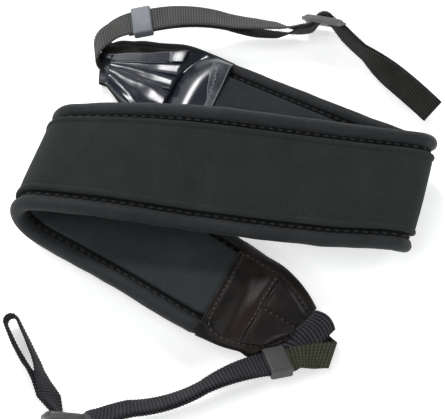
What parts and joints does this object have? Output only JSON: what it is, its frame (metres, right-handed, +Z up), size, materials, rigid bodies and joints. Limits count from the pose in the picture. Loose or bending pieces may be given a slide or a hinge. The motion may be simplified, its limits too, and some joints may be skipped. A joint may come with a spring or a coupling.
{
  "type": "camera neck strap",
  "caption": "Padded camera neck strap folded in a Z on a surface, with sleeve tips, ribbed webbing, keeper loops, sliders and tail loops for a camera's strap lugs.",
  "frame": {"origin": "centre of the bounding box's bottom, on the floor the strap lies on", "axes": "+Z up; +Y from the near webbing to the far webbing; +X to the right of the picture, along the middle run of the pad"},
  "size_m": [0.198, 0.2092, 0.0441],
  "materials": {
    "pad_body": "matt cloth over foam",
    "outer_panel": "matt cloth",
    "inner_lining": "matt cloth",
    "lower_tip": "grained leatherette",
    "lower_tip_overlay": "grained leatherette",
    "upper_tip": "glossy vinyl",
    "upper_tip_gather": "glossy vinyl",
    "lower_webbing": "ribbed webbing",
    "upper_webbing": "ribbed webbing",
    "lower_keeper": "satin",
    "upper_keeper": "satin",
    "lower_triglide": "satin",
    "upper_triglide": "satin"
  },
  "bodies": {
    "root": {"pad_body": "pad_body", "outer_panel": "outer_panel", "inner_lining": "inner_lining", "lower_tip": "lower_tip", "lower_tip_overlay": "lower_tip_overlay", "upper_tip": "upper_tip", "upper_tip_gather": "upper_tip_gather", "lower_webbing": "lower_webbing", "upper_webbing": "upper_webbing", "lower_keeper": "lower_keeper", "upper_keeper": "upper_keeper", "lower_triglide": "lower_triglide", "upper_triglide": "upper_triglide"}
  },
  "joints": []
}
